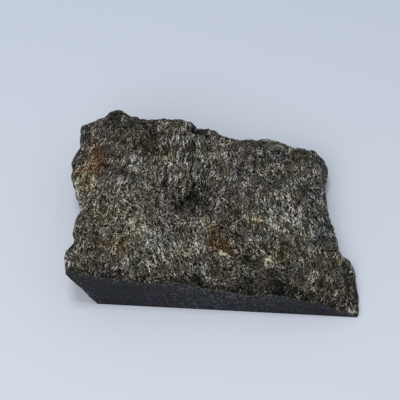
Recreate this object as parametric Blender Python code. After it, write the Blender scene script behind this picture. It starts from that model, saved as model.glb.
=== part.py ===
"""A hand specimen of nuummite: a broken slab of dark, splintery rock, sawn flat below and in front.

The stone is made in the order in which the real one came about. A block of the slab's plan is
meshed evenly and drawn into the broken shape: thick on the left, thin at the front right tip,
undercut on the left and flared on the right. It gets its lumps, hollows and splintery grain,
and is then sawn twice, along the base and along the front.

The origin is on the sawn base, +X runs along the sawn front, +Y to the back and +Z is up.
"""

import math

import bmesh
import bpy
from mathutils import Matrix, Vector, noise

MM = 0.001

# Driving dimensions, in millimetres.
FRONT_Y = -34.0  # the sawn front lies in this plane
BLOCK_HEIGHT = 20.0  # of the even block, before its thickness is drawn to the real one
SAW_WASTE = 3.0  # rough stone below the base and before the front, which the saw takes off
SAW_SNAP = 0.15  # corners this near to a cut are moved onto it
RIM_ROUNDING = 2.6
MESH_SIZE = 1.65
MESH_DEPTH = 7  # halvings of the space that holds the block, to reach the mesh size
MESH_TURN = math.radians(33.0)  # so that the squares don't line up with the splinters

# The plan at its widest, from the front left corner round the back to the front right tip.
LEFT_SIDE = [
    (-48.8, FRONT_Y - SAW_WASTE),
    (-49.5, -33.0),
    (-50.6, -28.5),
    (-50.0, -24.3),
    (-47.9, -20.2),
    (-48.9, -16.2),
    (-48.0, -10.0),
    (-47.0, -4.0),
    (-50.0, 4.4),
    (-52.0, 11.5),
    (-51.9, 17.2),
    (-49.9, 21.6),
    (-50.6, 29.8),
]
BACK_EDGE = [
    (-48.6, 31.7),
    (-41.2, 32.4),
    (-38.6, 35.5),
    (-35.2, 35.2),
    (-31.2, 33.9),
    (-24.6, 34.0),
    (-13.1, 33.2),
    (-9.4, 32.6),
    (-7.0, 31.0),
    (-0.6, 31.2),
    (4.2, 29.8),
    (8.2, 29.4),
    (14.5, 30.6),
    (21.2, 30.4),
    (29.6, 29.2),
    (35.4, 29.6),
]
RIGHT_SIDE = [
    (39.6, 27.6),
    (40.6, 23.0),
    (38.4, 16.5),
    (38.4, 10.6),
    (41.6, -2.6),
    (43.9, -8.6),
    (46.3, -12.1),
    (49.6, -18.8),
    (50.9, -27.0),
    (51.4, -32.3),
    (49.6, -34.6),
    (47.6, FRONT_Y - SAW_WASTE),
]

# How thick the stone is: for each section from front to back, (x, thickness) from left to right.
THICKNESS_SECTIONS = [
    (-34.0, [(-52, 20.5), (-45, 20.8), (-38, 18.2), (-29, 16.0), (-18, 15.6), (-8, 16.2), (4, 12.2),
             (14, 11.4), (22, 12.0), (30, 10.4), (37, 7.8), (44, 4.2), (52, 1.6)]),
    (-20.0, [(-52, 18.0), (-42, 19.2), (-30, 18.8), (-18, 18.8), (-6, 17.4), (4, 15.0), (14, 13.8),
             (24, 13.2), (34, 10.6), (44, 6.4), (52, 3.0)]),
    (-4.0, [(-52, 17.0), (-40, 19.2), (-26, 20.2), (-10, 18.4), (2, 17.0), (14, 15.2), (26, 13.0),
            (36, 10.0), (46, 5.5)]),
    (12.0, [(-52, 18.0), (-42, 19.8), (-28, 21.0), (-14, 20.0), (0, 18.2), (12, 16.6), (24, 14.2),
            (34, 11.6), (44, 7.5)]),
    (30.0, [(-52, 19.5), (-38, 22.4), (-30, 21.4), (-18, 21.4), (-8, 20.4), (4, 17.6), (16, 15.2),
            (28, 13.0), (42, 9.5)]),
]

# How far the foot of each side stands in from the widest plan, as (place along it, inset).
# A negative inset is a flare: there the foot is the widest part.
LEFT_UNDERCUT = [(-37, 11.0), (-30, 9.5), (-22, 7.0), (-8, 4.0), (10, 3.5), (34, 2.5)]
RIGHT_UNDERCUT = [(-37, -0.4), (-28, -1.2), (-10, -1.6), (10, -2.0), (26, 0.5), (34, 1.5)]
BACK_UNDERCUT = [(-52, 2.0), (-35, 4.0), (-15, 1.0), (10, 2.5), (30, 1.0), (52, 2.0)]

# Single swells and hollows of the broken face: x, y, half width in x, half width in y, height.
SWELLS = {
    "back_left_peak": (-36.8, 31.6, 4.2, 3.6, 1.6),
    "corner_knob": (-46.4, 27.0, 4.0, 3.0, 0.9),
    "side_bulge": (-49.0, 11.0, 4.0, 7.0, 0.8),
    "needle_ridge": (-27.8, 12.8, 1.8, 5.0, 1.3),
    "light_plate": (-12.0, 26.4, 2.8, 4.5, 1.4),
    "streak_ridge": (-3.2, -9.0, 1.5, 7.0, 1.2),
    "pale_dome": (-18.5, -19.0, 9.0, 6.0, 1.2),
    "blue_shelf": (14.5, -12.6, 6.0, 3.2, 0.9),
    "right_swell": (30.0, -4.0, 8.0, 7.0, 0.8),
    "back_right_swell": (12.5, 24.5, 8.0, 4.0, 0.8),
    "tip_swell": (40.5, -23.0, 6.0, 7.0, 0.7),
}
HOLLOWS = {
    "ledge_groove": (-43.5, 19.6, 6.0, 1.5, -1.4),
    "rust_hollow": (-44.6, 9.0, 3.0, 4.2, -1.0),
    "back_hollow": (-22.6, 21.0, 5.5, 4.2, -1.6),
    "edge_pit": (-8.3, 28.6, 1.7, 2.0, -3.2),
    "splinter_groove": (-13.2, 14.6, 1.0, 5.0, -1.5),
    "centre_hollow": (-9.0, 0.0, 4.6, 5.6, -2.2),
    "centre_hollow_tail": (-4.0, 9.2, 3.0, 4.4, -1.0),
    "rust_basin": (2.4, -15.4, 4.8, 3.4, -1.4),
    "seam": (10.5, -20.6, 8.5, 1.1, -1.7),
    "front_hollow": (20.5, -27.6, 4.2, 2.4, -1.3),
    "left_notch": (-45.0, -19.6, 3.0, 2.0, -0.9),
}

# The grain of the break. Splinters run from front to back, so they are long in y.
LUMP_SIZE, LUMP_HEIGHT = 9.0, 0.9
SPLINTER_WIDTH, SPLINTER_LENGTH, SPLINTER_DEPTH, SPLINTER_TILT = 3.8, 9.5, 4.5, 1.2
KNOB_SIZE, KNOB_HEIGHT = 3.4, 0.95
NOISE_SEED = Vector((98.5, 94.0, 54.3))

STONE_COLOUR = (0.062, 0.060, 0.053, 1.0)
STONE_ROUGHNESS = 0.55


def clear_scene():
    for old in list(bpy.data.objects):
        bpy.data.objects.remove(old, do_unlink=True)


def ease(share):
    """0 to 1, with a soft start and end."""
    share = min(1.0, max(0.0, share))
    return share * share * (3.0 - 2.0 * share)


def along(stations, place):
    """The value at a place between (place, value) stations, eased from one to the next."""
    if place <= stations[0][0]:
        return stations[0][1]
    for (low, before), (high, after) in zip(stations, stations[1:]):
        if place <= high:
            return before + (after - before) * ease((place - low) / (high - low))
    return stations[-1][1]


def thickness(x, y):
    """The stone's thickness before its swells, hollows and grain."""
    return along([(station, along(profile, x)) for station, profile in THICKNESS_SECTIONS], y)


def bump(x, y, form):
    """The height at (x, y) of one swell or hollow, a soft round or long mound."""
    centre_x, centre_y, half_x, half_y, height = form
    reach = ((x - centre_x) / half_x) ** 2 + ((y - centre_y) / half_y) ** 2
    return height * math.exp(-1.4 * reach)


def even_block():
    """A block of the plan, its top rim rounded, meshed in even squares."""
    bm = bmesh.new()
    plan = LEFT_SIDE + BACK_EDGE + RIGHT_SIDE
    corners = [bm.verts.new((x, y, -SAW_WASTE)) for x, y in plan]
    base = bm.faces.new(corners)
    lifted = bmesh.ops.extrude_face_region(bm, geom=[base])["geom"]
    top_corners = [v for v in lifted if isinstance(v, bmesh.types.BMVert)]
    bmesh.ops.translate(bm, verts=top_corners, vec=(0, 0, BLOCK_HEIGHT + SAW_WASTE))
    bmesh.ops.recalc_face_normals(bm, faces=bm.faces)
    rim = [e for e in bm.edges if all(v.co.z > 0 for v in e.verts)]
    bmesh.ops.bevel(bm, geom=rim, offset=RIM_ROUNDING, affect="EDGES", segments=3, profile=0.5,
                    material=-1)
    turn = Matrix.Rotation(MESH_TURN, 4, "Z")
    bmesh.ops.transform(bm, matrix=turn @ Matrix.Scale(MM, 4), verts=bm.verts)

    block = bpy.data.meshes.new("even_block")
    bm.to_mesh(block)
    bm.free()
    helper = bpy.data.objects.new("even_block", block)
    bpy.context.scene.collection.objects.link(helper)
    remesh = helper.modifiers.new("even_squares", "REMESH")
    remesh.mode = "SMOOTH"
    remesh.octree_depth = MESH_DEPTH
    remesh.scale = max(helper.dimensions) / (MESH_SIZE * MM * 2**MESH_DEPTH)
    graph = bpy.context.evaluated_depsgraph_get()
    even = bpy.data.meshes.new_from_object(helper.evaluated_get(graph))
    bpy.data.objects.remove(helper, do_unlink=True)
    bpy.data.meshes.remove(block)
    even.transform(turn.inverted())
    return even


def drawn_to_shape(point):
    """A point of the even block, moved to where it lies in the broken stone."""
    x, y, z = point
    height_share = z / BLOCK_HEIGHT
    drop = 1.0 - height_share
    to_left = ease(-x / 48.0)
    to_right = ease(x / 40.0)
    to_back = ease(y / 30.0)
    new_x = x + drop * (along(LEFT_UNDERCUT, y) * to_left - along(RIGHT_UNDERCUT, y) * to_right)
    new_y = y - drop * along(BACK_UNDERCUT, x) * to_back
    if z <= 0.0:
        return Vector((new_x, new_y, z))
    top = thickness(x, y) + sum(bump(x, y, form) for form in [*SWELLS.values(), *HOLLOWS.values()])
    return Vector((new_x, new_y, height_share * top))


def grain(point):
    """How far the broken surface stands out at a point: lumps, tilted splinters and knobs."""
    seeded = point + NOISE_SEED
    lumps = noise.fractal(seeded / LUMP_SIZE, 1.0, 2.0, 2) * LUMP_HEIGHT
    lean = 0.3 * noise.noise(seeded / 17.0)
    stretched = Vector((
        (seeded.x + lean * seeded.y) / SPLINTER_WIDTH,
        seeded.y / SPLINTER_LENGTH,
        seeded.z / SPLINTER_DEPTH,
    ))
    middle = noise.voronoi(stretched)[1][0]
    lie = middle * 3.7
    tilt = Vector((noise.noise(lie), noise.noise(lie.yzx), noise.noise(lie.zxy)))
    splinters = (stretched - middle).dot(tilt) * SPLINTER_TILT
    knobs = noise.noise(seeded / KNOB_SIZE) * KNOB_HEIGHT
    return lumps + splinters + knobs


def sawn(bm, axis, place, side):
    """Cuts off all that lies beyond a plane and closes the cut with one flat face.

    The plane stands across the axis (0, 1 or 2 for x, y or z) at a place along it, in
    millimetres, and what lies on the given side of it (-1 or 1) comes off.
    """
    normal = [0.0, 0.0, 0.0]
    normal[axis] = side
    plane_point = [0.0, 0.0, 0.0]
    plane_point[axis] = place * MM
    bmesh.ops.bisect_plane(
        bm,
        geom=bm.verts[:] + bm.edges[:] + bm.faces[:],
        dist=SAW_SNAP * MM,
        plane_co=plane_point,
        plane_no=normal,
        clear_outer=True,
    )
    rim = [e for e in bm.edges if e.is_boundary]
    for v in {v for e in rim for v in e.verts}:
        v.co[axis] = place * MM
    bmesh.ops.holes_fill(bm, edges=rim, sides=0)


def stone_mesh():
    """The finished stone: drawn to shape, roughened, then sawn flat below and in front."""
    mesh = even_block()
    bm = bmesh.new()
    bm.from_mesh(mesh)
    for v in bm.verts:
        v.co = drawn_to_shape(v.co / MM) * MM
    bm.normal_update()
    outward = [(v, v.normal * grain(v.co / MM) * MM) for v in bm.verts]
    for v, shift in outward:
        v.co += shift
    sawn(bm, 2, 0.0, -1)
    sawn(bm, 1, FRONT_Y, -1)
    bmesh.ops.recalc_face_normals(bm, faces=bm.faces)
    bmesh.ops.triangulate(bm, faces=[f for f in bm.faces if len(f.verts) == 4])
    bm.to_mesh(mesh)
    bm.free()
    mesh.name = "nuummite_slab"
    return mesh


def stone_material():
    material = bpy.data.materials.new("nuummite")
    material.use_nodes = True
    shader = material.node_tree.nodes["Principled BSDF"]
    shader.inputs["Base Color"].default_value = STONE_COLOUR
    shader.inputs["Roughness"].default_value = STONE_ROUGHNESS
    shader.inputs["Metallic"].default_value = 0.0
    return material


def main():
    clear_scene()
    mesh = stone_mesh()
    mesh.materials.append(stone_material())
    slab = bpy.data.objects.new("nuummite_slab", mesh)
    bpy.context.scene.collection.objects.link(slab)


main()
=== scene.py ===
# %% [markdown]
# # A slab of nuummite
#
# Nuummite is a dark rock of two amphiboles, anthophyllite and gedrite, grown together in thin
# laths. Where it breaks, thousands of splintery laths catch the light one by one, and where it is
# sawn it is smooth and almost black. This lesson dresses one hand specimen: it takes the plain
# solid of the stone, gives its broken skin finer relief in the mesh itself, and makes one finish
# for the broken stone and one for the sawn stone.

# %% Load the plain solid
import math

import bmesh
import bpy
from mathutils import Matrix, Vector, noise
from mathutils.kdtree import KDTree


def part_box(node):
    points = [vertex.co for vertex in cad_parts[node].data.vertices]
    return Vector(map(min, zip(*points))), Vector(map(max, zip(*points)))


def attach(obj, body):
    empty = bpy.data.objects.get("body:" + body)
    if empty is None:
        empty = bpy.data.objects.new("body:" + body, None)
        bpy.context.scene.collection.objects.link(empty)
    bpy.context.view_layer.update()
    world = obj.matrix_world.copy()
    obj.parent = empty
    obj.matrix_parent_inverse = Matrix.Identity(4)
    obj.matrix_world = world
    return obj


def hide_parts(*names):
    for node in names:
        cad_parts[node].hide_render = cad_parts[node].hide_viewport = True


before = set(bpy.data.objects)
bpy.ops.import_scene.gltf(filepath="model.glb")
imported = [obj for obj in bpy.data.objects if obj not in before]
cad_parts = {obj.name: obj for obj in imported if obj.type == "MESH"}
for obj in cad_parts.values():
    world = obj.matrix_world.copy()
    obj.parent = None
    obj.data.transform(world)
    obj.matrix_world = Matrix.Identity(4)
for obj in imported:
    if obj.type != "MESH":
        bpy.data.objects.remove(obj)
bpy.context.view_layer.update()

MM = 0.001
SLAB = "nuummite_slab"
low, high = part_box(SLAB)
print("the slab's sides in mm:", [round(side / MM, 1) for side in high - low])

# %% [markdown]
# ## Camera
#
# The slab is seen from in front and well above, through a long lens, as one sees a thing that
# lies on a desk. A camera that is aimed by a direction vector needs no tilt angles:
# `to_track_quat` turns its -Z axis, the way it looks, towards the point.

# %% Place the camera
CAMERA_PLACE = Vector((0.01152, -0.27155, 0.39819))
CAMERA_AIM = Vector((-0.00537, 0.00855, 0.005))
CAMERA_LENS = 120.9

camera_data = bpy.data.cameras.new("camera")
camera_data.lens = CAMERA_LENS
camera_data.clip_start = 0.01
camera = bpy.data.objects.new("camera", camera_data)
camera.location = CAMERA_PLACE
camera.rotation_euler = (CAMERA_AIM - CAMERA_PLACE).to_track_quat("-Z", "Y").to_euler()
bpy.context.scene.collection.objects.link(camera)
bpy.context.scene.camera = camera
print("camera to aim in mm:", round((CAMERA_AIM - CAMERA_PLACE).length / MM))

# %% [markdown]
# ## Helpers for node trees
#
# A finish is a graph of nodes. Short helpers keep its code readable: `add_node` adds a node and
# fills its inputs, and the others build on it for sums, vectors, colours and soft steps. An input
# can be a plain value or the output of another node.

# %% Node helpers
def add_node(tree, kind, inputs=None, **settings):
    """A new node with its settings and inputs, where an input is a value or another's output."""
    node = tree.nodes.new(kind)
    for name, value in settings.items():
        setattr(node, name, value)
    for socket, value in (inputs or {}).items():
        if isinstance(value, bpy.types.NodeSocket):
            tree.links.new(value, node.inputs[socket])
        else:
            node.inputs[socket].default_value = value
    return node


def number(tree, operation, *values, clamp=False):
    """The result of a Math node."""
    inputs = dict(enumerate(values))
    return add_node(tree, "ShaderNodeMath", inputs, operation=operation, use_clamp=clamp).outputs[0]


def vector(tree, operation, *values):
    """The result of a Vector Math node."""
    node = add_node(tree, "ShaderNodeVectorMath", dict(enumerate(values)), operation=operation)
    return node.outputs["Value" if operation in ("LENGTH", "DOT_PRODUCT") else "Vector"]


def mixed(tree, share, first, second, blend="MIX"):
    """Two colours mixed by a share of the second."""
    node = add_node(tree, "ShaderNodeMix", data_type="RGBA", blend_type=blend)
    for socket, value in ((0, share), (6, first), (7, second)):
        if isinstance(value, bpy.types.NodeSocket):
            tree.links.new(value, node.inputs[socket])
        else:
            node.inputs[socket].default_value = value
    return node.outputs[2]


def combined(tree, value):
    """A vector with the same number three times."""
    return add_node(tree, "ShaderNodeCombineXYZ", {0: value, 1: value, 2: value}).outputs[0]


def eased(tree, value, start, end):
    """0 at start, 1 at end, and soft between them."""
    inputs = {"Value": value, "From Min": start, "From Max": end}
    return add_node(tree, "ShaderNodeMapRange", inputs, interpolation_type="SMOOTHSTEP").outputs[0]


def new_finish(name):
    """A material with an empty tree but for its shader, and the place on the stone in mm."""
    material = bpy.data.materials.new(name)
    material.use_nodes = True
    tree = material.node_tree
    shader = tree.nodes["Principled BSDF"]
    place = add_node(tree, "ShaderNodeTexCoord").outputs["Object"]
    in_mm = vector(tree, "MULTIPLY", place, (1 / MM, 1 / MM, 1 / MM))
    return material, tree, shader, in_mm

# %% [markdown]
# ## The surface that it lies on
#
# The stone lies on a smooth pale sheet with a cool tint. One large plane is enough. Its colour is
# painted paler in front than behind: painted light that falls off towards the back.

# %% Make the sheet
SHEET_SIZE = 6.0
SHEET_LIT_NEAR, SHEET_DIM_FAR = (0.73, 0.775, 0.865, 1), (0.66, 0.72, 0.815, 1)
SHEET_SPAN = (-80.0, 110.0)   # from near to far, in mm

bm = bmesh.new()
bmesh.ops.create_grid(bm, x_segments=1, y_segments=1, size=SHEET_SIZE / 2)
sheet_mesh = bpy.data.meshes.new("sheet")
bm.to_mesh(sheet_mesh)
bm.free()
sheet = bpy.data.objects.new("sheet", sheet_mesh)
bpy.context.scene.collection.objects.link(sheet)
sheet_finish, tree, shader, in_mm = new_finish("pale_sheet")
# The colour fades from the lit near colour to the dim far one: painted light.
depth = add_node(tree, "ShaderNodeSeparateXYZ", {"Vector": in_mm}).outputs["Y"]
far_share = add_node(tree, "ShaderNodeMapRange",
                     {"Value": depth, "From Min": SHEET_SPAN[0], "From Max": SHEET_SPAN[1]}).outputs[0]
tree.links.new(mixed(tree, far_share, SHEET_LIT_NEAR, SHEET_DIM_FAR), shader.inputs["Base Color"])
shader.inputs["Roughness"].default_value = 0.7
shader.inputs["Specular IOR Level"].default_value = 0.3
sheet_mesh.materials.append(sheet_finish)
print("the sheet is", SHEET_SIZE, "m wide")

# %% [markdown]
# ## Light
#
# The light is soft and comes mostly from above: a lamp overhead, whose shadow gathers only under an
# overhang. A much larger lamp in front on the left stands for a window, and a dim room fills what
# is left. The laths mirror the lamps, so they also glitter.

# %% Set the lights
LAMPS = {
    "overhead": (Vector((-0.10, -0.01, 0.93)), 0.22, 2.3),
    "window": (Vector((-0.28, -0.60, 0.70)), 0.80, 3.6),
}
ROOM_COLOUR = (0.93, 0.965, 1.0, 1)
ROOM_STRENGTH = 0.40

for name, (place, size, power) in LAMPS.items():
    lamp_data = bpy.data.lights.new(name, "AREA")
    lamp_data.size = size
    lamp_data.energy = power
    lamp = bpy.data.objects.new(name, lamp_data)
    lamp.location = place
    lamp.rotation_euler = (-place).to_track_quat("-Z", "Y").to_euler()
    bpy.context.scene.collection.objects.link(lamp)

room = bpy.data.worlds.new("room")
room.use_nodes = True
room.node_tree.nodes["Background"].inputs["Color"].default_value = ROOM_COLOUR
room.node_tree.nodes["Background"].inputs["Strength"].default_value = ROOM_STRENGTH
bpy.context.scene.world = room
bpy.context.scene.view_settings.view_transform = "Standard"
print("lamps:", ", ".join(LAMPS))

# %% [markdown]
# ## The broken skin
#
# The plain solid has facets about 1.6 mm across. The real skin is built of laths and chips far
# smaller than that. A bump map would give the shading, but not the ragged outline or the tiny
# shadows, so the mesh itself is refined: the two sawn faces are joined into one face each and left
# out, and every other triangle is parted into sixteen.

# %% Part the skin into small triangles
BASE_Z = low.z
FRONT_Y = low.y
FLAT = 0.02 * MM
SKIN_CUTS = 3


def lies_in(face, axis, place):
    return all(abs(v.co[axis] - place) < FLAT for v in face.verts)


bm = bmesh.new()
bm.from_mesh(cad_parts[SLAB].data)
steep_layer = bm.verts.layers.float.new("steep")
height_layer = bm.verts.layers.float.new("height")
rim_layer = bm.loops.layers.float.new("rim")
bmesh.ops.remove_doubles(bm, verts=bm.verts, dist=0.001 * MM)
sawn_faces = []
for axis, place in ((2, BASE_Z), (1, FRONT_Y)):
    parts = [f for f in bm.faces if lies_in(f, axis, place)]
    sawn_faces += bmesh.ops.dissolve_faces(bm, faces=parts, use_verts=False)["region"]
skin_edges = {e for f in bm.faces if f not in sawn_faces for e in f.edges}
bmesh.ops.subdivide_edges(bm, edges=list(skin_edges), cuts=SKIN_CUTS, use_grid_fill=True)
sawn_faces = [f for f in bm.faces if len(f.verts) > 4]
print("sawn faces:", len(sawn_faces), "skin triangles:", len(bm.faces) - len(sawn_faces))

# %% [markdown]
# The small triangles still lie in the old facets. Smoothing each corner towards its neighbours
# rounds the facets away. Corners on the rim of a sawn face stay, so that the cuts stay flat.

# %% Round the old facets
SMOOTHINGS = 4

rim_corners = {v for f in sawn_faces for v in f.verts}
skin_corners = [v for v in bm.verts if v not in rim_corners]
for _ in range(SMOOTHINGS):
    bmesh.ops.smooth_vert(bm, verts=skin_corners, factor=0.5,
                          use_axis_x=True, use_axis_y=True, use_axis_z=True)
print("corners smoothed:", len(skin_corners), "and kept on a rim:", len(rim_corners))

# %% [markdown]
# The finish will need to know where the stone turns over from its top to its sides, to paint shade
# and a bluer tint on the sides. A smooth skin can tell that and a rough one can't, so it is noted on
# each corner now, before the relief.

# %% Note how steep the skin is
bm.normal_update()
for v in bm.verts:
    v[steep_layer] = 1.0 - max(0.0, v.normal.z)
print("steep corners:", sum(v[steep_layer] > 0.5 for v in bm.verts))

# %% [markdown]
# ## Relief
#
# Five forms of broken rock are added along the normals. Chips are flat plates that each tilt
# their own way, and laths are narrow cells that each stand at their own height. Voronoi cells suit
# both, because a cell is one chip or one crystal. Noise makes the rest: long ribs, which stand
# highest where the stone broke in splinters, fine crumbs, and rare deep pits where a bundle of
# laths tore out. The corners on a rim move along their cut, which chips its edge but keeps it flat.
# The right end is worn, so there the relief is low and nothing juts out.

# %% Raise the relief
CHIP_SIZE = Vector((2.4, 5.5, 3.0))
CHIP_TILT = 0.20
RIB_SIZE = Vector((1.7, 10.0, 3.0))
RIB_HEIGHT = 0.26
RIB_SWING = 0.35
SPLINTERY = Vector((-11, 14, 18)), Vector((12, 17, 20))   # middle and reach of the splintery part
SPLINTERY_GAIN = 2.2
LATH_SIZE = Vector((0.7, 4.5, 2.5))
LATH_HEIGHT = 0.19
CRUMB_SIZE = 0.85
CRUMB_HEIGHT = 0.14
PIT_SIZE = 4.5
PIT_DEPTH = 0.7
PIT_START = 0.25
LATH_SWING = math.radians(32)
SWING_SIZE = 7.0
SIDE_SHARE = 0.50
RIM_SHARE = 0.30
WORN_END = Vector((51, -28, 2)), Vector((6, 9, 6))   # middle and reach of the worn right end
WORN_SHARE = 0.25
END_X = 51.5 * MM   # corners past this are worn back towards it


def own_value(cell, turn=0):
    """A steady value from -0.5 to 0.5 that belongs to one cell."""
    seed = Vector((cell[turn % 3], cell[(turn + 1) % 3], cell[(turn + 2) % 3]))
    return noise.cell(seed * 91.7 + Vector((0.37, 0.37, 0.37))) - 0.5


def shrunk(point, size):
    return Vector((point.x / size.x, point.y / size.y, point.z / size.z))


def swung(point):
    """The point seen in the frame of its bundle of laths, which has its own direction."""
    bundle = noise.voronoi(point / SWING_SIZE)[1][0]
    turn = Matrix.Rotation(own_value(bundle) * 2 * LATH_SWING, 3, "Z")
    return turn @ (point - bundle * SWING_SIZE) + bundle * SWING_SIZE


def relief(point):
    """How far the broken skin stands out at a point, all in mm."""
    chip_place = shrunk(point, CHIP_SIZE)
    chip = noise.voronoi(chip_place)[1][0]
    tilt = Vector((own_value(chip, 0), own_value(chip, 1), own_value(chip, 2)))
    chips = (chip_place - chip).dot(tilt) * 2 * CHIP_TILT
    swung_point = swung(point)
    middle, reach = SPLINTERY
    gain = 1 + SPLINTERY_GAIN * math.exp(-shrunk(point - middle, reach).length_squared)
    rib_place = shrunk(point.lerp(swung_point, RIB_SWING), RIB_SIZE)
    ribs = (0.25 - abs(noise.noise(rib_place))) * 2 * RIB_HEIGHT * gain
    (near, second), (lath, _) = [part[:2] for part in noise.voronoi(shrunk(swung_point, LATH_SIZE))]
    laths = (own_value(lath) + 0.35 * min(1.0, 3 * (second - near))) * LATH_HEIGHT
    crumbs = noise.noise(point / CRUMB_SIZE) * CRUMB_HEIGHT
    pits = -PIT_DEPTH * max(0.0, noise.noise(point / PIT_SIZE + Vector((7, 3, 5))) - PIT_START) / 0.3
    return chips + ribs + laths + crumbs + pits


bm.normal_update()
shifts = {}
for v in bm.verts:
    share = 1.0 - (1.0 - SIDE_SHARE) * min(1.0, 2 * v[steep_layer])
    v[height_layer] = relief(v.co / MM)
    middle, reach = WORN_END
    share *= 1 - (1 - WORN_SHARE) * math.exp(-shrunk(v.co / MM - middle, reach).length_squared)
    shift = v.normal * v[height_layer] * share * MM
    if v in rim_corners:
        shift *= RIM_SHARE
        if abs(v.co.z - BASE_Z) < FLAT:
            shift.z = 0
        if abs(v.co.y - FRONT_Y) < FLAT:
            shift.y = 0
    shifts[v] = shift
for v, shift in shifts.items():
    v.co += shift
    v.co.z = max(v.co.z, BASE_Z)
    v.co.y = max(v.co.y, FRONT_Y)
    v.co.x = min(v.co.x, END_X + (v.co.x - END_X) * WORN_SHARE)
depths = [shift.length / MM for shift in shifts.values()]
print("relief in mm: mean", round(sum(depths) / len(depths), 2), "most", round(max(depths), 2))

# %% [markdown]
# The front left edge runs almost straight down to a foot that stands a little further in. So all
# corners near it move over together, and those on the rim also lie closer to one line.

# %% Straighten the front left edge
EDGE_FOOT, EDGE_TOP = Vector((-38.3, -34, 0)), Vector((-47.6, -34, 18.4))
FOOT_SHIFT = 1.3
EDGE_REACH = 7.0
EDGE_OWN = 0.3

for v in bm.verts:
    rise = (v.co.z / MM - EDGE_FOOT.z) / (EDGE_TOP.z - EDGE_FOOT.z)
    if v.co.x > -30 * MM or rise > 1:
        continue
    near = math.exp(-((v.co.y / MM - EDGE_FOOT.y) / EDGE_REACH) ** 2)
    v.co.x += FOOT_SHIFT * (1 - rise) * near * MM
    edge_x = EDGE_FOOT.lerp(EDGE_TOP, rise).x * MM
    if v in rim_corners and near > 0.99 and v.co.x < edge_x + 2 * MM:
        v.co.x = edge_x + (v.co.x - edge_x) * EDGE_OWN

# %% [markdown]
# Smooth shading suits the skin, which has real relief by now. The cuts are flat, so they keep flat
# shading and a sharp edge. Each face also learns which of the two finishes it takes.

# %% Shade the skin and keep the cuts crisp
BROKEN, SAWN = 0, 1

for face in bm.faces:
    face.smooth = face not in sawn_faces
    face.material_index = SAWN if face in sawn_faces else BROKEN
for face in sawn_faces:
    for edge in face.edges:
        edge.smooth = False

# %% [markdown]
# The sawn front is still one big polygon. A grid of straight cuts gives it corners of its own, so
# that it can carry a second number: how near the rim is, where the saw broke grains out.

# %% Cut the sawn front into cells and note how near the rim is
CELL_SIZE = 2.5 * MM
RIM_REACH = 2.0 * MM

rim_tree = KDTree(len(rim_corners))
for index, v in enumerate(rim_corners):
    rim_tree.insert(v.co, index)
rim_tree.balance()
front = [f for f in sawn_faces if lies_in(f, 1, FRONT_Y)]
for axis in (0, 2):
    direction = Vector([float(axis == other) for other in range(3)])
    place = low[axis] + CELL_SIZE
    while place < high[axis]:
        parts = front + list({e for f in front for e in f.edges} | {v for f in front for v in f.verts})
        cut = bmesh.ops.bisect_plane(bm, geom=parts, dist=0.001 * MM,
                                     plane_co=direction * place, plane_no=direction)
        front = [part for part in cut["geom"] if isinstance(part, bmesh.types.BMFace)]
        place += CELL_SIZE
for face in front:
    for loop in face.loops:
        loop[rim_layer] = math.exp(-rim_tree.find(loop.vert.co)[2] / RIM_REACH)
print("cells on the sawn front:", len(front))

# %% [markdown]
# The mesh is done, and becomes an object at the origin, unturned, with its place in its mesh.

# %% Make the stone's object
stone_mesh = bpy.data.meshes.new("nuummite")
bm.to_mesh(stone_mesh)
bm.free()
stone = bpy.data.objects.new("nuummite", stone_mesh)
bpy.context.scene.collection.objects.link(stone)
print("the stone has", len(stone_mesh.polygons), "faces")

# %% [markdown]
# ## The finish of the broken stone
#
# Each lath is one crystal, so it has one tone and one lie. The pattern is a Voronoi texture whose
# cells are squeezed to the shape of a lath. Laths point many ways, so six layers of them are laid
# over each other, each turned its own way and bent by noise, and at each point the palest shows. A
# finer Voronoi texture adds grit. In named places the laths differ less or more than elsewhere.

# %% Laths as crest, colour and lie
LAYERS = [
    ((0.27, 5.4, 1.5), -52, 8, 0.94),
    ((0.34, 4.6, 1.5), -24, -9, 0.98),
    ((0.27, 6.0, 1.5), 4, 6, 0.98),
    ((0.36, 5.0, 1.5), 30, -7, 0.98),
    ((0.28, 4.0, 1.5), 64, 9, 0.92),
    ((0.45, 0.9, 0.45), 10, 80, 0.80),
]
BEND_SIZE = 5.0
BEND = 0.7
CREST = (0.15, 0.75)
GRIT_SHAPE = (0.30, 0.40, 0.34)
LATH_SHARE, GRIT_SHARE = 0.60, 0.54
ROUGH_SIZE = 4.0
ROUGH = 2.6
TONE_MIDDLE = 0.53
CONTRAST = {   # name: (middle in mm, reach in mm, how much more the laths differ)
    "calm left back": ((-36, 20, 20), (15, 11, 8), -0.28),
    "calm back": ((-8, 17, 19), (9, 9, 8), -0.15),
    "calm right": ((34, -16, 10), (13, 11, 8), -0.22),
    "crisp felt": ((-17, -13, 19), (11, 7, 8), 0.28),
    "crisp left": ((-34, -6, 19), (9, 6, 8), 0.22),
    "crisp slope": ((18, 9, 15), (8, 7, 8), 0.22),
}

stone_finish, tree, shader, in_mm = new_finish("broken_nuummite")


def noise_colour(tree, in_mm, size, seed=(0, 0, 0), detail=2.0):
    """Three noises at once, each around 0.5."""
    moved = vector(tree, "ADD", in_mm, seed)
    inputs = {"Vector": moved, "Scale": 1 / size, "Detail": detail}
    return add_node(tree, "ShaderNodeTexNoise", inputs).outputs["Color"]


def laths(tree, place, shape, turn, dip):
    """The random colour of each lath, and its crest: 1 along its middle and 0 at its seams."""
    turned = add_node(tree, "ShaderNodeVectorRotate", {"Vector": place, "Angle": math.radians(turn)},
                      rotation_type="Z_AXIS").outputs[0]
    dipped = add_node(tree, "ShaderNodeVectorRotate", {"Vector": turned, "Angle": math.radians(dip)},
                      rotation_type="X_AXIS").outputs[0]
    squeezed = vector(tree, "DIVIDE", dipped, shape)
    cells = add_node(tree, "ShaderNodeTexVoronoi", {"Vector": squeezed, "Scale": 1.0})
    crest = number(tree, "SUBTRACT", 1.0, eased(tree, cells.outputs["Distance"], *CREST))
    return cells.outputs["Color"], crest


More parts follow.
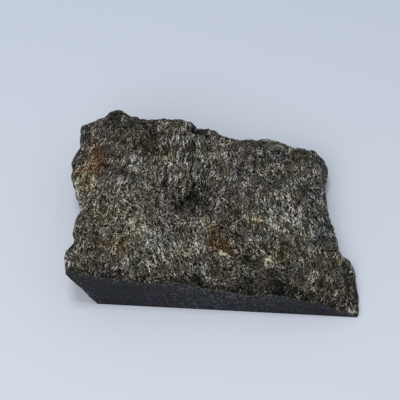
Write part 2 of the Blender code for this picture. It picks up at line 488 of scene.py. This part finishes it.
def share_of(tree, place, middle, reach):
    """1 around a middle, 0 beyond its reach, and soft between them."""
    offset = vector(tree, "DIVIDE", vector(tree, "SUBTRACT", place, middle), reach)
    return eased(tree, vector(tree, "LENGTH", offset), 1.3, 0.4)


def ruffled(tree, in_mm, ruffles):
    """The place, moved to and fro by noises of given size and reach."""
    for size, reach in ruffles:
        ruffle = vector(tree, "SUBTRACT", noise_colour(tree, in_mm, size), (0.5, 0.5, 0.5))
        in_mm = vector(tree, "MULTIPLY_ADD", ruffle, (2 * reach, 2 * reach, 2 * reach), in_mm)
    return in_mm


def double_angle(lean, strength=1.0):
    """A direction as a vector that is the same for a lean and for the opposite lean."""
    angle = math.radians(2 * lean)
    return strength * math.cos(angle), strength * math.sin(angle), 0.0


# %% [markdown]
# In some places most laths lie one way. Such a grain has a lean, in degrees from the line that runs
# from front to back. Laths that lie along the grain are raised and those across it are lowered.

# %% Place the grain
GRAIN = {   # name: (middle in mm, reach in mm, lean, strength)
    "left edge": ((-46, 7, 18), (6, 20, 8), 15, 0.8),
    "left back": ((-35, 13, 20), (9, 13, 8), 23, 0.7),
    "back": ((-14, 19, 20), (11, 12, 8), 2, 0.9),
    "middle": ((-3.5, 4, 17.5), (6, 14, 8), 12, 0.7),
    "streak": ((-2.9, -14, 17.6), (3, 9, 6), 0, 1.0),
    "right": ((23, -2, 13), (18, 14, 8), -16, 0.5),
    "left front": ((-33, -14, 19.5), (8, 10, 6), 2, 0.4),
    "felt": ((-16, -26, 18), (12, 9, 6), -49, 0.5),
    "seam": ((9, -19, 14), (7, 5, 5), 90, 0.8),
    "front": ((17, -26, 12.5), (14, 5, 5), -85, 0.4),
    "right edge": ((38, -8, 9), (8, 25, 8), -10, 0.4),
}
GRAIN_PATCH = 4.5
GRAIN_NOISE = 3.5
GRAIN_GAIN = 0.65
RAGGED = ((6.0, 6.0), (1.8, 4.0))   # size and reach in mm of the two noises that ruffle an edge

ragged_place = ruffled(tree, in_mm, RAGGED)
grain = vector(tree, "SUBTRACT", noise_colour(tree, in_mm, GRAIN_PATCH, (60, 3, 8)), (0.5, 0.5, 0.5))
grain = vector(tree, "MULTIPLY", grain, (GRAIN_NOISE, GRAIN_NOISE, 0.0))
for middle, reach, lean, strength in GRAIN.values():
    share = share_of(tree, ragged_place, middle, reach)
    grain = vector(tree, "MULTIPLY_ADD", combined(tree, share), double_angle(lean, strength), grain)

# %% [markdown]
# The palest lath at a point lies on top, so a maximum picks its tone, and a comparison picks the
# lie that belongs to the same lath.

# %% Lay the layers over each other
tone = 0.0
lie = (0.0, 0.0, 0.0)
for index, (shape, turn, dip, weight) in enumerate(LAYERS):
    seed = (17.0 * index, 0, 0)
    bend = vector(tree, "SUBTRACT", noise_colour(tree, in_mm, BEND_SIZE, seed), (0.5, 0.5, 0.5))
    place = vector(tree, "MULTIPLY_ADD", bend, (2 * BEND, 2 * BEND, 2 * BEND),
                   vector(tree, "ADD", in_mm, seed))
    own, crest = laths(tree, place, shape, turn, dip)
    own_parts = add_node(tree, "ShaderNodeSeparateColor", {"Color": own}).outputs
    along = vector(tree, "DOT_PRODUCT", grain, double_angle(turn, GRAIN_GAIN * weight))
    layer_weight = number(tree, "ADD", along, weight)
    layer_tone = number(tree, "MULTIPLY", number(tree, "MULTIPLY", own_parts[0], crest), layer_weight)
    above = number(tree, "GREATER_THAN", layer_tone, tone)
    tone = number(tree, "MAXIMUM", layer_tone, tone)
    centred = vector(tree, "SUBTRACT", own, (0.5, 0.5, 0.5))
    lie_mix = add_node(tree, "ShaderNodeMix", data_type="VECTOR")
    tree.links.new(above, lie_mix.inputs[0])
    for socket, value in ((4, lie), (5, centred)):
        if isinstance(value, bpy.types.NodeSocket):
            tree.links.new(value, lie_mix.inputs[socket])
        else:
            lie_mix.inputs[socket].default_value = value
    lie = lie_mix.outputs[1]

grit = add_node(tree, "ShaderNodeTexVoronoi",
                {"Vector": vector(tree, "DIVIDE", in_mm, GRIT_SHAPE), "Scale": 1.0}).outputs["Color"]
grit = add_node(tree, "ShaderNodeSeparateColor", {"Color": grit}).outputs[0]
tone = number(tree, "MULTIPLY_ADD", tone, LATH_SHARE, number(tree, "MULTIPLY", grit, GRIT_SHARE))
rough = add_node(tree, "ShaderNodeSeparateColor",
                 {"Color": noise_colour(tree, in_mm, ROUGH_SIZE, (3, 44, 5))}).outputs[0]
contrast = number(tree, "MULTIPLY_ADD", number(tree, "SUBTRACT", rough, 0.5), ROUGH, 1.0)
for middle, reach, gain in CONTRAST.values():
    contrast = number(tree, "MULTIPLY_ADD", share_of(tree, ragged_place, middle, reach), gain, contrast)
tone = number(tree, "MULTIPLY_ADD", number(tree, "SUBTRACT", tone, TONE_MIDDLE), contrast, TONE_MIDDLE)

# %% [markdown]
# ## Stains and shades
#
# Weather has stained the stone: iron has rusted in its hollows, and films have left olive and gold
# patches. Some bundles of laths are pale. Some dark places are dark stone, and others are painted
# shade: in a pit and a broad hollow, under a small step, on the slopes down to the rims and on the
# steep ends. A kind of stain has a shade, which makes the laths paler or darker, and says how much
# redder and bluer it is. Each place gives only its kind, middle and reach. Noise makes its edge
# ragged, and places that overlap add up.

# %% Place the stains
KINDS = {   # kind: (shade, redder, bluer)
    "rust": (-0.05, 0.38, -0.26),
    "gold": (0.0, 0.12, -0.34),
    "olive": (-0.05, 0.02, -0.18),
    "tan": (-0.03, 0.12, -0.20),
    "brown": (-0.20, 0.06, -0.05),
    "slate": (-0.10, -0.11, 0.18),
    "lilac": (0.09, 0.0, 0.13),
    "pale": (0.20, -0.02, 0.02),
    "cream": (0.22, 0.02, -0.11),
    # dark and black serve both for dark stone and for painted shade
    "dark": (-0.22, -0.02, 0.05),
    "black": (-0.42, -0.04, 0.02),
    "green": (-0.20, -0.08, 0.0),
}
STAINS = {   # name: (kind, middle in mm, reach in mm)
    "slate corner": ("slate", (-48.7, 24.3, 19.4), (2.5, 6, 6)),
    "dark peak": ("dark", (-37.2, 29.7, 23.4), (5, 4, 6)),
    "brown back": ("brown", (-24, 21, 19.9), (5.6, 8, 8)),
    "back middle": ("dark", (-13.4, 23.1, 20.8), (5, 4, 6)),
    "dark crest": ("black", (-6.6, 28.6, 19.6), (4, 3.4, 5)),
    # a pit at the back edge, dark with painted shade
    "black pit": ("black", (-8.8, 29.4, 19), (1.4, 1.8, 4)),
    "rust hollow": ("rust", (-43.0, 14.0, 19), (5.2, 7.4, 8)),
    "gold rim": ("gold", (-45.5, 4.5, 18.2), (3.4, 6.2, 7)),
    "brown shadow": ("brown", (-38.3, 11, 20), (2.8, 5, 5)),
    "pale ridge": ("pale", (-26.3, 10.2, 20.8), (2.2, 3.2, 4)),
    "gold spot": ("gold", (-16.4, 16.2, 20.1), (2.4, 3.8, 4)),
    "green groove": ("green", (-9.2, 15, 18.5), (3.4, 5, 5)),
    "green middle": ("green", (-6.1, 3.8, 17.6), (3.8, 5.3, 6)),
    # painted shade in a broad hollow
    "darkest": ("black", (-9.2, -2.8, 17.5), (5.2, 5.2, 6)),
    "lilac grey": ("lilac", (8.6, 11.6, 17.1), (6, 7.4, 6)),
    "pale grey": ("pale", (1.5, 17, 17.5), (3.8, 4.8, 6)),
    "cool back": ("pale", (8.6, 24, 17), (3.4, 2.7, 5)),
    "slate back": ("slate", (20.8, 23.3, 14.5), (5, 4.3, 6)),
    "dark right": ("slate", (37.2, 22.9, 10.3), (3.4, 5, 6)),
    "right middle": ("slate", (34, 9.5, 11.5), (5, 4.3, 6)),
    "brown spot": ("brown", (9.7, 11, 16.8), (1.6, 2.4, 4)),
    "teal spot": ("slate", (16.8, 0.6, 14.9), (2.2, 1.8, 4)),
    "lilac dots": ("lilac", (14.6, 3.1, 15.5), (2.4, 2.4, 4)),
    "pale right": ("pale", (22.3, -2, 14), (5, 6.4, 6)),
    "blue right": ("slate", (36.8, -4.8, 10.3), (6.5, 7.5, 7)),
    "gold patch": ("gold", (13.9, -7, 15.3), (3.8, 3.8, 5)),
    "lilac patch": ("lilac", (15.5, -13.8, 15), (3.6, 2.4, 4)),
    "brown middle": ("brown", (4, -9.5, 15.8), (3.4, 4.3, 5)),
    "rust middle": ("rust", (2.3, -16.6, 15.4), (6.4, 5.2, 6)),
    "olive brown": ("olive", (13.5, -20.3, 12.8), (5, 3.2, 5)),
    # painted shadow under the small step above this seam
    "dark seam": ("dark", (12.6, -20.6, 13), (6, 1.3, 3)),
    "olive front": ("olive", (25.4, -16.3, 12.9), (6, 3.7, 5)),
    # painted shade on the slope that falls to the front cut
    "black front": ("dark", (24, -29.5, 11.9), (5, 4.4, 5)),
    "green black": ("green", (-4.5, -33.8, 16), (6.0, 1.8, 3)),
    "brown front": ("brown", (3.5, -26.6, 14.1), (3.8, 2.7, 4)),
    "brown tip": ("brown", (45.9, -26.5, 5.2), (3.8, 7.4, 6)),
    "yellow edge": ("gold", (43.4, -13, 6), (1.8, 3, 5)),
    "olive middle": ("olive", (-2.5, -10.2, 18.4), (2.5, 4.3, 5)),
    "pale streak": ("pale", (-4.0, -14.5, 17.6), (2.4, 4, 5)),
    "white felt": ("pale", (-20, -19.5, 19.7), (5, 5, 5)),
    "cream felt": ("cream", (-7.6, -21.7, 17.9), (3.4, 4.8, 5)),
    "gold felt": ("tan", (-31, -21.9, 19.3), (4.2, 6.4, 6)),
    "moss left": ("olive", (-38.2, -4.7, 19), (3.4, 3, 5)),
    "olive left": ("olive", (-38.5, -12, 19.9), (3.4, 7.5, 6)),
    "dark left": ("tan", (-38.8, -22, 18.5), (3, 4.8, 6)),
    "pink left": ("tan", (-29.4, -9.8, 19.7), (3.4, 4.8, 5)),
    "slate left": ("slate", (-47.3, -24.9, 19.1), (1.8, 4.8, 6)),
    # painted shade where the back rim rounds away, and on the steep left side
    "back rim": ("dark", (-29, 27.5, 22), (6, 3.2, 5)),
    "left cliff": ("dark", (-49.3, 12, 18), (2.0, 9, 6)),
    "brown side": ("brown", (-20.2, 18.8, 20), (3, 4.5, 5)),
    "olive groove": ("green", (-3.7, 10.3, 17.3), (3, 5, 5)),
    "dim middle": ("dark", (-2.0, 0.5, 17.8), (3.4, 6, 6)),
    "pale felt": ("cream", (-25.5, -16, 19.3), (3, 6.5, 5)),
    # painted shade where the skin rounds down to the front cut
    "front rim": ("dark", (22, -32.5, 10), (24, 3.4, 7)),
    "pale left": ("pale", (-31, -2, 19), (7, 3, 5)),
    "pale line": ("pale", (28.5, -7, 12.7), (4.4, 4, 5)),
    "pale low": ("cream", (-15, -25.3, 18.6), (3, 2.4, 4)),
    # less of the painted rim shade at the left end
    "pale end": ("pale", (-48.5, -31.5, 18), (4, 3.5, 4)),
    "dim front": ("dark", (22, -25, 12.5), (4, 3, 5)),
    "pale column": ("pale", (-7.5, 19.5, 18.5), (1.8, 4, 4)),
    # painted shade on the steep right end and below its tip
    "right foot": ("dark", (50.6, -21.5, 2), (1.5, 5.5, 4)),
    "right heel": ("dark", (51.6, -28, 1.5), (1.4, 5.5, 4)),
    "dark foot": ("black", (49, -34, 0.2), (8, 2, 2.0)),
    "red edge": ("brown", (-32.5, -32, 17), (4, 1.6, 3)),
}

# %% [markdown]
# Everywhere, noise does the same: clouds that are redder or bluer, mottled bundles, and long
# columns in the splintery part. Dark seams between bundles and small dark pits are painted shade in
# crevices. High corners are paler and low ones darker: painted light on the crests and painted shade
# in the hollows. The sides are darker than the top, as painted shade, and bluer. The skin along the
# rim of the sawn front is darker, as painted shade where it rounds down to the cut.

# %% Shade the laths
CLOUD_SIZE = 8.0
CLOUD_RED, CLOUD_BLUE = 0.25, 0.42
MOTTLE_SIZE = 2.2
MOTTLE = 0.05
MOTTLE_RED, MOTTLE_BLUE = 0.30, 0.30
HEIGHT_PAINTED_SHADE = 0.14
SWAY_SIZE = 9.0
SWAY = 3.0
BUNDLE_SHAPE = (0.9, 4.5, 1.2)
BUNDLE_SHADE = 0.30
SEAM_WIDTH = 0.04
SEAM_PAINTED_SHADE = 0.2
PIT_SHAPE = (1.0, 1.7, 1.2)
PIT_SPAN = (0.13, 0.24)   # the part of the noise that is a pit's slope
PIT_PAINTED_SHADE = 0.45
COLUMNS = (-11, 12, 19), (12, 20, 9)   # middle and reach of the place with long columns
COLUMN_SHAPE = (0.6, 12.0, 2.5)
COLUMN_SHADE = 1.8
SIDE_SPAN = (0.3, 0.85)   # how steep the top ends and the side begins
SIDE_PAINTED_SHADE, SIDE_RED, SIDE_BLUE = -0.08, -0.05, 0.08
RIM_SPAN = (-30.5, -33.5)   # the depth over which the rim of the sawn front darkens, in mm
RIM_PAINTED_SHADE = -0.21


def parts_of(tree, colour):
    """A noise colour as three numbers around 0."""
    centred = vector(tree, "SUBTRACT", colour, (0.5, 0.5, 0.5))
    return add_node(tree, "ShaderNodeSeparateColor", {"Color": centred}).outputs


clouds = parts_of(tree, noise_colour(tree, in_mm, CLOUD_SIZE, (40, 0, 9)))
mottle = parts_of(tree, noise_colour(tree, in_mm, MOTTLE_SIZE, (5, 70, 2)))
redder = number(tree, "MULTIPLY", clouds[0], CLOUD_RED)
redder = number(tree, "MULTIPLY_ADD", mottle[1], MOTTLE_RED, redder)
bluer = number(tree, "MULTIPLY", clouds[1], CLOUD_BLUE)
bluer = number(tree, "MULTIPLY_ADD", mottle[2], MOTTLE_BLUE, bluer)
# High corners are painted paler and low ones darker: painted light on crests, painted shade in hollows.
height = add_node(tree, "ShaderNodeAttribute", attribute_name="height").outputs["Fac"]
shade = number(tree, "MULTIPLY_ADD", height, HEIGHT_PAINTED_SHADE, number(tree, "MULTIPLY", mottle[0], MOTTLE))

sway = vector(tree, "SUBTRACT", noise_colour(tree, in_mm, SWAY_SIZE, (0, 30, 60), 1.0), (0.5, 0.5, 0.5))
swayed = vector(tree, "MULTIPLY_ADD", sway, (2 * SWAY, 2 * SWAY, 2 * SWAY), in_mm)
bundles = parts_of(tree, noise_colour(tree, vector(tree, "DIVIDE", swayed, BUNDLE_SHAPE), 1.0))
shade = number(tree, "MULTIPLY_ADD", bundles[0], BUNDLE_SHADE, shade)
# The seams between bundles are painted shade in the slits between them.
seam = eased(tree, number(tree, "ABSOLUTE", bundles[1]), SEAM_WIDTH, 0.0)
shade = number(tree, "MULTIPLY_ADD", seam, -SEAM_PAINTED_SHADE, shade)

# Small pits are painted shade: dark where shade falls into them.
pit_place = vector(tree, "DIVIDE", in_mm, PIT_SHAPE)
pits = parts_of(tree, noise_colour(tree, pit_place, 1.0, (21, 5, 9), 1.0))[0]
shade = number(tree, "MULTIPLY_ADD", eased(tree, pits, *PIT_SPAN), -PIT_PAINTED_SHADE, shade)
column_place = vector(tree, "DIVIDE", swayed, COLUMN_SHAPE)
columns = parts_of(tree, noise_colour(tree, column_place, 1.0, (2, 2, 2)))[0]
column_share = number(tree, "MULTIPLY", share_of(tree, ragged_place, *COLUMNS), COLUMN_SHADE)
shade = number(tree, "MULTIPLY_ADD", columns, column_share, shade)

# The sides are painted darker than the top, as painted shade, and bluer.
steep = add_node(tree, "ShaderNodeAttribute", attribute_name="steep").outputs["Fac"]
side = eased(tree, steep, *SIDE_SPAN)
shade = number(tree, "MULTIPLY_ADD", side, SIDE_PAINTED_SHADE, shade)
redder = number(tree, "MULTIPLY_ADD", side, SIDE_RED, redder)
bluer = number(tree, "MULTIPLY_ADD", side, SIDE_BLUE, bluer)
# The skin near the front cut is painted darker: painted shade where it rounds down to the cut.
depth = add_node(tree, "ShaderNodeSeparateXYZ", {"Vector": ragged_place}).outputs["Y"]
shade = number(tree, "MULTIPLY_ADD", eased(tree, depth, *RIM_SPAN), RIM_PAINTED_SHADE, shade)
for kind, middle, reach in STAINS.values():
    stain_shade, stain_red, stain_blue = KINDS[kind]
    share = share_of(tree, ragged_place, middle, reach)
    shade = number(tree, "MULTIPLY_ADD", share, stain_shade, shade)
    redder = number(tree, "MULTIPLY_ADD", share, stain_red, redder)
    bluer = number(tree, "MULTIPLY_ADD", share, stain_blue, bluer)
print("stains:", len(STAINS), "of", len(KINDS), "kinds")

# %% [markdown]
# Most laths are dark, some are grey, and a few are nearly white. A colour ramp turns each lath's
# tone into its colour. A stain settles between the laths, so it tints the dark ones most and
# leaves the pale ones nearly clean. Last come three pale grains of another mineral, and the chipped
# right tip, which is pale stone with a painted highlight where its broken facet catches the light.

# %% Colour each lath
LATH_TONES = [
    (0.24, (0.0010, 0.0008, 0.0005)),
    (0.40, (0.0155, 0.0134, 0.0088)),
    (0.54, (0.0580, 0.0521, 0.0383)),
    (0.71, (0.168, 0.155, 0.125)),
    (0.87, (0.350, 0.329, 0.284)),
    (1.00, (0.74, 0.71, 0.63)),
]
STAIN_ON_DARK, STAIN_ON_PALE = 3.0, 0.6
SHADE_ON_TONE, SHADE_ON_COLOUR = 0.6, 1.1
# Three are grains of another mineral; the fourth, the pale tip, also holds a painted highlight.
CHIPS = {   # pale grains of another mineral: (middle in mm, reach in mm, colour)
    "cream grain": ((4.2, -20.1, 14.7), (1.4, 0.9, 3), (0.62, 0.57, 0.38)),
    "cream crumb": ((19.9, -20.4, 12.9), (1.0, 0.9, 3), (0.56, 0.56, 0.42)),
    "cream crumb in front": ((18.9, -22.0, 12.9), (0.8, 1.0, 3), (0.50, 0.50, 0.36)),
    # the chipped tip: pale stone with a painted highlight where its broken facet catches the light
    "pale tip": ((48.9, -33.2, 2.3), (2.3, 1.2, 0.5), (0.44, 0.405, 0.37)),
}
CHIP_RUFFLES = ((1.2, 1.6),)
CHIP_EDGE = (1.1, 0.8)   # from outside to inside, in reaches


def toned(tree, value, tones):
    ramp = add_node(tree, "ShaderNodeValToRGB", {"Fac": value})
    stops = ramp.color_ramp.elements
    while len(stops) < len(tones):
        stops.new(0.5)
    for stop, (place, colour) in zip(stops, tones):
        stop.position = place
        stop.color = (*colour, 1)
    return ramp.outputs["Color"]


tone_gain = number(tree, "MULTIPLY_ADD", shade, SHADE_ON_TONE, 1.0)
shaded_tone = number(tree, "MULTIPLY", tone, tone_gain, clamp=True)
light = number(tree, "MAXIMUM", number(tree, "MULTIPLY_ADD", shade, SHADE_ON_COLOUR, 1.0), 0.1)
strength = add_node(tree, "ShaderNodeMapRange", {
    "Value": shaded_tone, "From Min": 0.2, "From Max": 0.8,
    "To Min": STAIN_ON_DARK, "To Max": STAIN_ON_PALE}).outputs[0]
stain = add_node(tree, "ShaderNodeCombineXYZ", {
    0: number(tree, "MULTIPLY_ADD", redder, strength, 1.0), 1: 1.0,
    2: number(tree, "MULTIPLY_ADD", bluer, strength, 1.0)}).outputs[0]
stain = vector(tree, "MULTIPLY", vector(tree, "MAXIMUM", stain, (0.1, 0.1, 0.1)), combined(tree, light))
stone_colour = vector(tree, "MULTIPLY", toned(tree, shaded_tone, LATH_TONES), stain)
chip_place = ruffled(tree, in_mm, CHIP_RUFFLES)
for middle, reach, chip_colour in CHIPS.values():
    offset = vector(tree, "DIVIDE", vector(tree, "SUBTRACT", chip_place, middle), reach)
    share = eased(tree, vector(tree, "LENGTH", offset), *CHIP_EDGE)
    gritty = combined(tree, number(tree, "MULTIPLY_ADD", grit, 0.6, 0.7))
    chip_light = vector(tree, "MULTIPLY", gritty, chip_colour)
    stone_colour = mixed(tree, share, stone_colour, chip_light)

# %% [markdown]
# A lath is a flat crystal with a lie of its own. Tilting the normal by its random colour makes some
# laths flash and others stay dull, and pale laths are glossier than dark ones.

# %% Lie and gloss of each lath
LIE = 0.7

lie = vector(tree, "MULTIPLY", lie, (LIE, LIE, LIE))
normal = add_node(tree, "ShaderNodeNewGeometry").outputs["Normal"]
tilted = vector(tree, "NORMALIZE", vector(tree, "ADD", normal, lie))
gloss = add_node(tree, "ShaderNodeMapRange",
                 {"Value": tone, "To Min": 0.8, "To Max": 0.3}).outputs[0]
tree.links.new(stone_colour, shader.inputs["Base Color"])
tree.links.new(gloss, shader.inputs["Roughness"])
tree.links.new(tilted, shader.inputs["Normal"])
shader.inputs["IOR"].default_value = 1.63
shader.inputs["Specular IOR Level"].default_value = 0.06

# %% [markdown]
# ## The finish of the sawn stone
#
# The saw left the cut smooth and matt. It is dark, and bluer low down, and there as light as higher
# up, which is partly painted light thrown up from the pale sheet. Faint tints, streaks and
# scratches run along the cut. Fine speckles cover it, and pale grains gather near its rim.

# %% Finish the sawn faces
# SAWN_LOW is bluer than SAWN_HIGH, and its lightness is partly painted light from the pale sheet.
SAWN_LOW, SAWN_HIGH = (0.0118, 0.0120, 0.0175, 1), (0.0125, 0.0125, 0.0120, 1)
SAWN_SPAN = (4.0, 15.0)   # from low to high, in mm
PATCH_SIZE = 6.0
PATCH_LIFT = 14.0   # how far the patches move that span up and down, in mm
STREAK_SHAPE = (14.0, 14.0, 0.7)
STREAK = 2.4
SCRATCH_SHAPE = (7.0, 7.0, 0.3)
SCRATCH_SPAN = (0.58, 0.72)
SCRATCH = 0.7
TINT_SIZE = 3.0
TINT = 1.4
SPECKLE_SIZE = 0.34
SPECKLE = 2.6
SPECKLED = (4, -34, 6), (26, 6, 12)   # middle and reach of the part with most speckles
GRAIN_SIZE = 0.5
GRAIN_COLOUR = (0.12, 0.116, 0.105, 1)
GRAIN_SPAN = (0.96, 1.20)
GRAINS_AT_RIM, GRAINS_IN_SPECKLES = 0.25, 0.13

sawn_finish, tree, shader, in_mm = new_finish("sawn_nuummite")
patches = noise_colour(tree, in_mm, PATCH_SIZE, (9, 2, 4))
height = add_node(tree, "ShaderNodeSeparateXYZ", {"Vector": in_mm}).outputs["Z"]
patch = add_node(tree, "ShaderNodeSeparateColor", {"Color": patches}).outputs[0]
raised = number(tree, "MULTIPLY_ADD", number(tree, "SUBTRACT", patch, 0.5), PATCH_LIFT, height)
sawn_colour = mixed(tree, eased(tree, raised, *SAWN_SPAN), SAWN_LOW, SAWN_HIGH)
streaks = add_node(tree, "ShaderNodeTexNoise", {
    "Vector": vector(tree, "DIVIDE", in_mm, STREAK_SHAPE), "Scale": 1.0, "Detail": 3.0}).outputs[0]
speckles = add_node(tree, "ShaderNodeTexVoronoi", {"Vector": in_mm, "Scale": 1 / SPECKLE_SIZE})
speckle = add_node(tree, "ShaderNodeSeparateColor", {"Color": speckles.outputs["Color"]}).outputs[0]
light = number(tree, "MULTIPLY_ADD", number(tree, "SUBTRACT", streaks, 0.5), STREAK, 1.0)
speckle_gain = number(tree, "MULTIPLY_ADD", share_of(tree, in_mm, *SPECKLED), SPECKLE, SPECKLE)
light = number(tree, "MULTIPLY_ADD", number(tree, "SUBTRACT", speckle, 0.5), speckle_gain, light)
scratches = add_node(tree, "ShaderNodeTexNoise", {
    "Vector": vector(tree, "DIVIDE", in_mm, SCRATCH_SHAPE), "Scale": 1.0, "Detail": 1.0}).outputs[0]
light = number(tree, "MULTIPLY_ADD", eased(tree, scratches, *SCRATCH_SPAN), SCRATCH, light)
sawn_colour = vector(tree, "MULTIPLY", sawn_colour, combined(tree, number(tree, "MAXIMUM", light, 0.2)))
tints = parts_of(tree, noise_colour(tree, in_mm, TINT_SIZE, (8, 8, 1)))
tint = add_node(tree, "ShaderNodeCombineXYZ", {
    0: number(tree, "MULTIPLY_ADD", tints[0], TINT, 1.0), 1: 1.0,
    2: number(tree, "MULTIPLY_ADD", tints[1], TINT, 1.0)}).outputs[0]
sawn_colour = vector(tree, "MULTIPLY", sawn_colour, tint)
rim = add_node(tree, "ShaderNodeAttribute", attribute_name="rim").outputs["Fac"]
grains = add_node(tree, "ShaderNodeTexVoronoi", {"Vector": in_mm, "Scale": 1 / GRAIN_SIZE})
grain_own = add_node(tree, "ShaderNodeSeparateColor", {"Color": grains.outputs["Color"]}).outputs[0]
grain_own = number(tree, "MULTIPLY_ADD", share_of(tree, in_mm, *SPECKLED), GRAINS_IN_SPECKLES, grain_own)
is_grain = eased(tree, number(tree, "MULTIPLY_ADD", rim, GRAINS_AT_RIM, grain_own), *GRAIN_SPAN)
tree.links.new(mixed(tree, is_grain, sawn_colour, GRAIN_COLOUR), shader.inputs["Base Color"])
shader.inputs["Roughness"].default_value = 0.6
shader.inputs["Specular IOR Level"].default_value = 0.16

stone_mesh.materials.append(stone_finish)
stone_mesh.materials.append(sawn_finish)
print("nodes:", len(stone_finish.node_tree.nodes), "broken,", len(sawn_finish.node_tree.nodes), "sawn")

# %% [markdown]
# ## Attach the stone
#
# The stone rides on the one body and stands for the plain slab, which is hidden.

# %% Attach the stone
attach(stone, "root")
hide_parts(SLAB)
